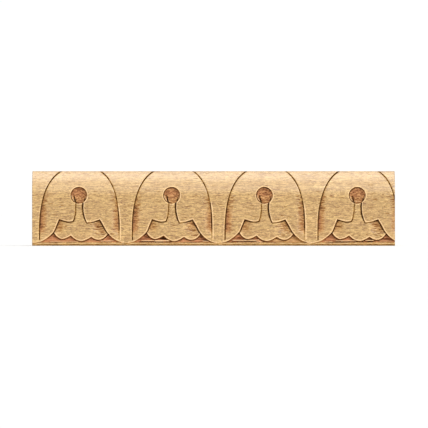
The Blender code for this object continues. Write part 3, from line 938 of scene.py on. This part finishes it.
def frame_lines():
    """The straight lines of the whole run."""
    far = LENGTH / 2 + BLANK_END
    top = HEIGHT + BLANK_TOP
    along = [evenly([(-far, z), (far, z)], ROW_STEP) for z in long_heights()]
    upright = [evenly([(x, 0.0), (x, top)], LINE_STEP) for x in end_places()]
    return along + upright


def staggered(step):
    """Points in staggered rows over the whole blank, set out along the grain."""
    far = LENGTH / 2 + BLANK_END
    along = step / GRAIN_SQUEEZE
    rows = np.arange(ARRIS_RADIUS + step, HEIGHT - SAWN_ARRIS - step / 2, step * sin(pi / 3))
    first = [-far + along * (0.5 + 0.5 * (k % 2)) for k in range(len(rows))]
    return np.array([(x, z) for start, z in zip(first, rows) for x in np.arange(start, far, along)])


def clear_of_lines(carving):
    """Which points keep clear of the lines of their motif."""
    outer = -min(WALL_RINGS) + BAND_CLEARANCE
    inner = max(WALL_RINGS) + BAND_CLEARANCE
    clear = carving.to_arch > max(GROOVE_RINGS) + BAND_CLEARANCE
    for inward in (carving.in_cut, carving.in_eye):
        clear &= (inward < -outer) | (inward > inner)
    in_cut = carving.in_cut > 0
    below = carving.below_lobes()
    clear &= ~in_cut | (below < -outer) | (below > inner)
    return clear


def finely_worked(carving):
    """Which points lie where the wood is torn or carved closely, and need small faces."""
    return (carving.in_cut > 0) | (carving.in_eye > 0) | (carving.flank() > 0) | (carving.beside_arch() > 0)


def fill_points():
    """Points between the lines: close together where the wood is worked finely."""
    found = []
    for step, wanted in ((WIDE_STEP, False), (CLOSE_STEP, True)):
        points = staggered(step)
        for own, carving in carvings(points):
            kept = clear_of_lines(carving) & (finely_worked(carving) == wanted)
            found.append(points[own][kept])
    points = np.concatenate(found)
    from_end = np.abs(np.abs(points[:, 0]) - LENGTH / 2)
    return points[from_end > SAWN_ARRIS + BAND_CLEARANCE]


def triangulated(lines, fill):
    """A flat sheet of triangles through the points, with the lines as edges."""
    squeeze = np.array([GRAIN_SQUEEZE, 1.0])
    points = [Vector(point * squeeze) for line in lines + [fill] for point in line]
    edges, start = [], 0
    for line in lines:
        edges += [(start + k, start + k + 1) for k in range(len(line) - 1)]
        start += len(line)
    flat, _, faces, *_ = delaunay_2d_cdt(points, edges, [], 0, SAME_POINT)
    return np.array([(p.x, p.y) for p in flat]) / squeeze, faces


def wobbled(points):
    """The points moved a little along and up, as a cutter wanders, but never at the lower edge."""
    aside = WOBBLE * grain(points, WOBBLE_LENGTH, WOBBLE_LENGTH, ASIDE_SEED)
    up = WOBBLE * grain(points, WOBBLE_LENGTH, WOBBLE_LENGTH, UP_SEED)
    up *= ease(points[:, 1], 0.0, ARRIS_RADIUS)
    inner = ease(LENGTH / 2 - np.abs(points[:, 0]), SAWN_ARRIS, WOBBLE_END)
    inner *= ease(HEIGHT - points[:, 1], *WOBBLE_TOP)
    return points + np.column_stack([aside, up]) * inner[:, None]


def carved_sheet(bm):
    """The carved face as one sheet, from the lower edge past the top one."""
    motif = motif_lines()
    lines = [line + (FIRST_AXIS + REPEAT * k, 0.0) for k in range(MOTIFS) for line in motif]
    spots, faces = triangulated(lines + frame_lines(), fill_points())
    marks = {name: np.zeros(len(spots)) for name in MARKS}
    for own, carving in carvings(spots):
        marks["sunk"][own] = carving.depth()
        marks["seam"][own] = carving.seam()
        marks["rim"][own] = carving.rim()
        marks["torn_and_shade"][own] = carving.tearing_and_shade()
        marks["scorch_and_shade"][own] = carving.scorch_and_shade()
    nick = lip_nick(spots)
    marks["rim"] = np.maximum(marks["rim"], nick)
    marks["sunk"] += NICK_DEPTH * nick
    waves = WAVE * grain(spots, WAVE_LENGTH, WAVE_LENGTH / 2, WAVE_SEED)
    y = FACE_Y + np.maximum(setback(spots) + marks["sunk"] + waves, 0.0)
    places = wobbled(spots)
    layers = [bm.verts.layers.float.new(name) for name in marks]
    verts = [bm.verts.new((x, depth, z)) for (x, z), depth in zip(places, y)]
    for vert, values in zip(verts, zip(*marks.values())):
        for layer, value in zip(layers, values):
            vert[layer] = value
    for face in faces:
        bm.faces.new([verts[k] for k in face])


def close_to_back(bm):
    """Straight sides from the edge of the face to the flat back, and the back itself."""
    rim = [edge for edge in bm.edges if edge.is_boundary]
    made = bmesh.ops.extrude_edge_only(bm, edges=rim)["geom"]
    for vert in (item for item in made if isinstance(item, bmesh.types.BMVert)):
        vert.co.y = BACK_Y
    bmesh.ops.edgeloop_fill(bm, edges=[edge for edge in bm.edges if edge.is_boundary])


def saw(bm, place, direction):
    """Cuts off what lies past a plane and closes the cut."""
    geometry = bm.verts[:] + bm.edges[:] + bm.faces[:]
    cut = bmesh.ops.bisect_plane(
        bm, geom=geometry, dist=SAW_SNAP, plane_co=place, plane_no=direction, clear_outer=True
    )["geom_cut"]
    bmesh.ops.edgeloop_fill(bm, edges=[item for item in cut if isinstance(item, bmesh.types.BMEdge)])


def is_flat_side(face):
    """Whether a face lies square in one of the five flat sides."""
    x, y, z = face.normal
    return max(abs(x), y, abs(z)) > cos(FLAT_ANGLE)


def eased_back(bm):
    """Clears the needless edges of the flat sides, then rounds the four edges of the back."""
    sides = [face for face in bm.faces if is_flat_side(face) and face.calc_center_median().y > 0]
    edges = list({edge for face in sides for edge in face.edges})
    verts = [vert for vert in bm.verts if vert.co.y > BACK_Y - SAW_SNAP]
    bmesh.ops.dissolve_limit(bm, angle_limit=FLAT_ANGLE, verts=verts, edges=edges)
    back = [edge for edge in bm.edges if all(vert.co.y > BACK_Y - SAW_SNAP for vert in edge.verts)]
    bmesh.ops.bevel(
        bm, geom=back, offset=BACK_ARRIS, segments=BACK_ARRIS_STEPS, profile=0.5, affect="EDGES", material=-1
    )


def planed_back(bm):
    """Crosses the back with the shallow waves of a planer."""
    half = LENGTH / 2 - BACK_ARRIS
    near_back = BACK_Y - 2 * BACK_ARRIS
    long_edges = [
        edge for edge in bm.edges
        if edge.calc_length() > LENGTH / 2 and min(vert.co.y for vert in edge.verts) > near_back
    ]
    cuts = round(4 * half / PLANER_PITCH) - 1
    bmesh.ops.subdivide_edges(bm, edges=long_edges, cuts=cuts, use_grid_fill=True)
    for vert in bm.verts:
        if vert.co.y > BACK_Y - SAW_SNAP and abs(vert.co.x) < half - SAW_SNAP:
            vert.co.y -= PLANER_DEPTH * (0.5 - 0.5 * cos(2 * pi * vert.co.x / PLANER_PITCH))


def mark_sharp(bm):
    """Sharp edges where faces meet at a strong angle, and round the flat sides."""
    for edge in bm.edges:
        if len(edge.link_faces) == 2:
            angle = edge.calc_face_angle()
            beside_flat = any(is_flat_side(face) for face in edge.link_faces)
            edge.smooth = angle < SHARP_ANGLE and not (beside_flat and angle > FLAT_EDGE_ANGLE)


def placed(name, data):
    """A new object in the scene."""
    obj = bpy.data.objects.new(name, data)
    bpy.context.scene.collection.objects.link(obj)
    return obj


def carved_strip():
    bm = bmesh.new()
    carved_sheet(bm)
    close_to_back(bm)
    saw(bm, (0, 0, HEIGHT), (0, 0, 1))
    saw(bm, (-LENGTH / 2, 0, 0), (-1, 0, 0))
    saw(bm, (LENGTH / 2, 0, 0), (1, 0, 0))
    bmesh.ops.recalc_face_normals(bm, faces=bm.faces[:])
    eased_back(bm)
    planed_back(bm)
    bm.normal_update()
    mark_sharp(bm)
    bmesh.ops.scale(bm, vec=(MM, MM, MM), verts=bm.verts[:])
    mesh = bpy.data.meshes.new("carved_strip")
    for face in bm.faces:
        face.smooth = True
    bm.to_mesh(mesh)
    bm.free()
    return placed("carved_strip", mesh)


class Wire:
    """An output of a material's node, whose sums and products add their own nodes."""

    def __init__(self, tree, socket=None):
        self.tree = tree
        self.socket = socket

    def node(self, kind, settings=(), sockets=(), output=0):
        """A new node, with its settings made first and then its sockets' values or links."""
        made = self.tree.nodes.new("ShaderNode" + kind)
        for name, value in dict(settings).items():
            setattr(made, name, value)
        for key, value in dict(sockets).items():
            if isinstance(value, Wire):
                self.tree.links.new(value.socket, made.inputs[key])
            else:
                made.inputs[key].default_value = value
        return Wire(self.tree, made.outputs[output])

    def worked(self, operation, first, second=0.0):
        return self.node("Math", {"operation": operation}, {0: first, 1: second})

    def __add__(self, other):
        return self.worked("ADD", self, other)

    def __sub__(self, other):
        return self.worked("SUBTRACT", self, other)

    def __rsub__(self, other):
        return self.worked("SUBTRACT", other, self)

    def __mul__(self, other):
        return self.worked("MULTIPLY", self, other)

    __radd__ = __add__
    __rmul__ = __mul__


def between(value, low, high):
    """0 below the low value and 1 above the high one, with a soft run between them."""
    return value.node("MapRange", {"interpolation_type": "SMOOTHSTEP"}, {0: value, 1: low, 2: high})


def tinted(share, colour, other):
    """The first colour where the share is 0, and the other where it is 1."""
    return share.node("Mix", {"data_type": "RGBA"}, {0: share, 6: colour, 7: other}, output=2)


def shaded(colour, factor):
    """The colour made darker or lighter by a factor."""
    return colour.node("VectorMath", {"operation": "SCALE"}, {0: colour, 3: factor})


def multiplied(place, factors):
    """Each part of a place multiplied by its own factor."""
    return place.node("VectorMath", {"operation": "MULTIPLY"}, {0: place, 1: factors})


def drawn_out(place, length, across):
    """The place squeezed, so that a pattern's features there get a length and a width."""
    return multiplied(place, (1 / length, 1 / across, 1 / across))


def streaks(place, length, across, detail=2.0):
    """A random pattern about 0.5 drawn out along the grain."""
    drawn = drawn_out(place, length, across)
    return drawn.node("TexNoise", {}, {"Vector": drawn, "Scale": 1.0, "Detail": detail})


def flecks(place, length, across):
    """A random value from 0 to 1 for each of many short fibres that lie along the grain."""
    drawn = drawn_out(place, length, across)
    return drawn.node("TexVoronoi", {}, {"Vector": drawn, "Scale": 1.0}, output=1)


def frayed(place):
    """The place moved a little, row by row along the grain, so that short fibres end raggedly."""
    rows = multiplied(place, FRAY_ROWS)
    moved = rows.node("TexNoise", {}, {"Vector": rows, "Scale": 1.0, "Detail": 1.0}, output=1)
    shift = multiplied(moved, FRAY_SHIFT)
    return shift.node("VectorMath", {"operation": "ADD"}, {0: shift, 1: place})


def near_edge(value, edge, skin):
    """1 at a sawn edge, 0 deeper in the wood than its skin."""
    start, end = skin
    return between(value, edge - start, edge - end)


def late_wood(place):
    """The darker late wood of the growth rings, whose pith lies below and behind the strip."""
    across, up = (place.node("SeparateXYZ", {}, {0: place}, output=k) for k in (1, 2))
    out = across - PITH[0]
    rise = up - PITH[1]
    radius = place.worked("SQRT", out * out + rise * rise)
    drift = streaks(place, *RING_DRIFT) * RING_DRIFT_SIZE
    ring = place.worked("FRACT", (radius + drift) * (1 / RING_WIDTH))
    return between(ring, *LATE_WOOD_START) * (1.0 - between(ring, *LATE_WOOD_END))


def warmed(colour, change):
    """The colour lighter and paler by a share, or darker and warmer where the share is negative."""
    parts = {k: 1.0 + change * share for k, share in enumerate(DARKENING)}
    return multiplied(colour, change.node("CombineXYZ", {}, parts))


def clean_wood(place):
    """The wood's own colour, its relief and its pores, before anything is cut in it."""
    ragged = frayed(place)
    tone = streaks(place, *TONES)
    warmth = between(streaks(place, *WARM_PATCHES), *WARM_EDGE)
    long_lines = flecks(place, *LONG_LINES)
    dark_lines = between(long_lines, *DARK_LINES)
    pale_lines = 1.0 - between(long_lines, *PALE_LINES)
    clouds = between(streaks(place, *PORE_CLOUDS), *CLOUD_EDGE)
    pores = between(flecks(ragged, *PORES), *PORE_EDGE) * (LEAST_PORES + (1.0 - LEAST_PORES) * clouds)
    up = place.node("SeparateXYZ", {}, {0: place}, output=2)
    rubbed = 1.0 - RUBBED_SHARE * between(up, *RUBBED_HEIGHTS)
    pattern = (streaks(place, *KNIFE_MARKS) - 0.5) * KNIFE_CHANGE + pale_lines * PALE_LINE_CHANGE
    pattern = pattern - dark_lines * DARK_LINE_CHANGES[0]
    relief = pores * -PORE_CHANGES[1] - dark_lines * DARK_LINE_CHANGES[1]
    for length, width, change, rise in FLECKS:
        fibres = flecks(ragged, length, width) - 0.5
        pattern = pattern + fibres * change
        relief = relief + fibres * rise
    colour = tinted(warmth * WARM_SHARE, PALE_WOOD, WARM_WOOD)
    colour = tinted(late_wood(place) * tone * LATE_WOOD_SHARE, colour, LATE_WOOD)
    colour = warmed(colour, (tone - 0.5) * TONE_CHANGE + pattern * rubbed)
    colour = tinted(pores * rubbed * PORE_CHANGES[0], colour, PORE_BROWN)
    return colour, relief * rubbed, pores * rubbed


def worked_wood(place, colour, marks):
    """The colour that the cutter leaves, with painted shade and highlight: scorched and shaded where it is
    deep, torn, shaded along the dark lines, pale at the arrises.
    """
    ragged = flecks(place, *RAGGED_EDGES)
    # Scorch and painted shade in the ground, the eye, the shoulders and the flanks
    least, change = SCORCH_AND_SHADE_RANGE
    scorch_and_shade = marks["scorch_and_shade"] * (least + flecks(place, *SCORCH_AND_SHADE_FLECKS) * change)
    colour = tinted(scorch_and_shade, colour, SCORCH_AND_SHADE_WOOD)
    # Torn grain with painted shade, painted shade along the dark lines, and painted highlights with bruising
    # at the rims
    for name, least, change, start, end, share, tint in TINTS:
        shown = between(marks[name] * (least + ragged * change), start, end)
        colour = tinted(shown * share, colour, tint)
    return colour


def wood_material():
    """Bare pale hardwood with straight, fine grain."""
    material = bpy.data.materials.new("bare_wood")
    material.use_nodes = True
    tree = material.node_tree
    shader = tree.nodes["Principled BSDF"]
    shader.inputs["Specular IOR Level"].default_value = RAW_GLOSS
    shader.inputs["Coat Roughness"].default_value = BURNISH_ROUGHNESS
    shader.inputs["Coat IOR"].default_value = BURNISH_IOR
    start = Wire(tree)
    metres = start.node("TexCoord", {}, {}, output=3)
    place = start.node("VectorMath", {"operation": "SCALE"}, {0: metres, 3: 1 / MM})
    along, across, up = (place.node("SeparateXYZ", {}, {0: place}, output=k) for k in (0, 1, 2))
    at_end = near_edge(place.worked("ABSOLUTE", along), LENGTH / 2, SAWN_SKIN)
    at_back = near_edge(across, BACK_Y, BACK_SKIN)
    carved = (1.0 - at_end) * (1.0 - near_edge(up, HEIGHT, SAWN_SKIN)) * between(up, *LOWER_SKIN)
    drawn = {name: start.node("Attribute", {"attribute_name": name}, {}, output=2) for name in MARKS}
    marks = {name: mark * carved for name, mark in drawn.items()}
    colour, height, pores = clean_wood(place)
    colour = worked_wood(place, colour, marks)
    cell_ends = between(streaks(place, *CELL_ENDS), *CELL_END_EDGE)
    colour = tinted(at_end * END_SHARES[0], colour, END_GRAIN)
    colour = tinted(at_end * late_wood(place) * END_SHARES[1], colour, END_RINGS)
    colour = shaded(colour, 1.0 - at_end * cell_ends * CELL_END_SHADE - at_back * BACK_SHADE)
    tree.links.new(colour.socket, shader.inputs["Base Color"])
    rough = WOOD_ROUGHNESS
    for share, change in zip((at_end, at_back, height), ROUGHENING):
        rough = rough + share * change
    tree.links.new(rough.socket, shader.inputs["Roughness"])
    dull = sum(marks[name] * share for name, share in MARK_DULLING)
    burnished = 1.0 - between(dull, *DULL_EDGE)
    cut = between(marks["sunk"], *CUT_DEPTHS)
    for dulled in (cut * CUT_DULLING, pores * PORE_DULLING, at_end, at_back * BACK_DULLING):
        burnished = burnished * (1.0 - dulled)
    tree.links.new(burnished.socket, shader.inputs["Coat Weight"])
    relief = height - at_end * cell_ends
    bump_sockets = {"Strength": RELIEF_STRENGTH, "Distance": RELIEF_HEIGHT * MM, "Height": relief}
    bump = start.node("Bump", {}, bump_sockets)
    tree.links.new(bump.socket, shader.inputs["Normal"])
    return material


def floor():
    """A plain pale floor that the strip stands on."""
    bm = bmesh.new()
    bmesh.ops.create_grid(bm, x_segments=1, y_segments=1, size=FLOOR_SIZE)
    mesh = bpy.data.meshes.new("floor")
    bm.to_mesh(mesh)
    bm.free()
    paint = bpy.data.materials.new("white_floor")
    paint.use_nodes = True
    shader = paint.node_tree.nodes["Principled BSDF"]
    shader.inputs["Base Color"].default_value = FLOOR_COLOUR
    shader.inputs["Roughness"].default_value = FLOOR_ROUGHNESS
    mesh.materials.append(paint)
    placed("floor", mesh)


def sky():
    """A white surround, which shows brighter than it shines."""
    world = bpy.data.worlds.new("white_studio")
    bpy.context.scene.world = world
    world.use_nodes = True
    light = Wire(world.node_tree)
    background = world.node_tree.nodes["Background"]
    seen = light.node("LightPath", {}, {}, output=0)
    strength = SKY_LIGHT + seen * (SKY_SEEN - SKY_LIGHT)
    background.inputs["Color"].default_value = (1.0, 1.0, 1.0, 1.0)
    world.node_tree.links.new(strength.socket, background.inputs["Strength"])


def lamp(name, azimuth, elevation, strength, softness):
    """A soft lamp far off, at an angle to the right of the camera and an angle above the floor."""
    data = bpy.data.lights.new(name, "SUN")
    data.energy = strength
    data.angle = radians(softness)
    obj = placed(name, data)
    turn, rise = radians(azimuth), radians(elevation)
    towards = Vector((sin(turn) * cos(rise), -cos(turn) * cos(rise), sin(rise)))
    obj.location = towards
    obj.rotation_euler = towards.to_track_quat("Z", "Y").to_euler()


def camera():
    """A long lens square to the face, at the height that the photograph's frame gives."""
    data = bpy.data.cameras.new("camera")
    data.lens = LENS
    data.sensor_width = SENSOR_WIDTH
    data.clip_start, data.clip_end = CLIP
    away = FRAME_WIDTH * MM * LENS / SENSOR_WIDTH
    obj = placed("camera", data)
    obj.location = (FRAME_CENTRE[0] * MM, FACE_Y * MM - away, FRAME_CENTRE[1] * MM)
    obj.rotation_euler = (pi / 2, 0.0, 0.0)
    bpy.context.scene.camera = obj


strip = carved_strip()
strip.data.materials.append(wood_material())
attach(strip, "root")
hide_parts("moulding_strip")
floor()
sky()
for settings in LAMPS:
    lamp(*settings)
camera()
bpy.context.scene.view_settings.view_transform = "Standard"
